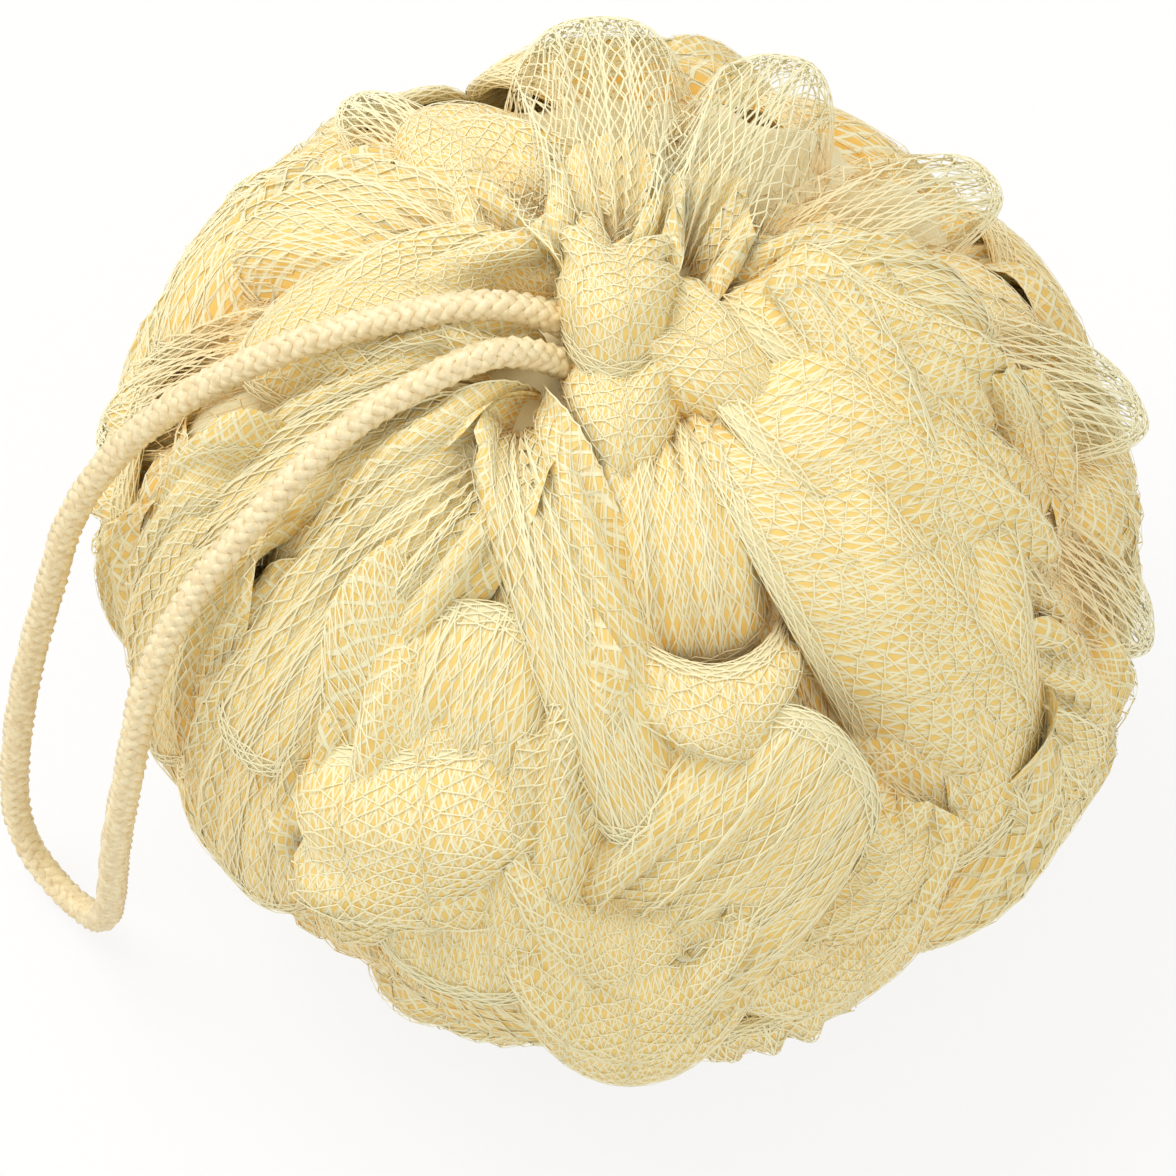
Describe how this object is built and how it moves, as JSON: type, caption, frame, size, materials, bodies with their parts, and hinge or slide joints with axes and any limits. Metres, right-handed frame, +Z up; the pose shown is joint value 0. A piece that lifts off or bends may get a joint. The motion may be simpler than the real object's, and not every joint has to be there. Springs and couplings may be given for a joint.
{
  "type": "mesh bath pouf",
  "caption": "Round bath pouf of soft net gathered into ruffled lobes and tied at the middle, with a braided cord loop to hang it by.",
  "frame": {"origin": "middle of the small flat patch that the pouf rests on, straight below the gather", "axes": "+Z up along the gather's axis, -Y towards the viewer of the picture, -X towards the cord loop"},
  "size_m": [0.1422, 0.1269, 0.1167],
  "materials": {
    "cream_net": "soft plastic net",
    "beige_cord": "glossy braid",
    "white_twine": "plain twine"
  },
  "bodies": {
    "root": {"netting": "cream_net", "binding_twine": "white_twine", "cord_knot": "beige_cord", "hanging_cord": "beige_cord"}
  },
  "joints": []
}
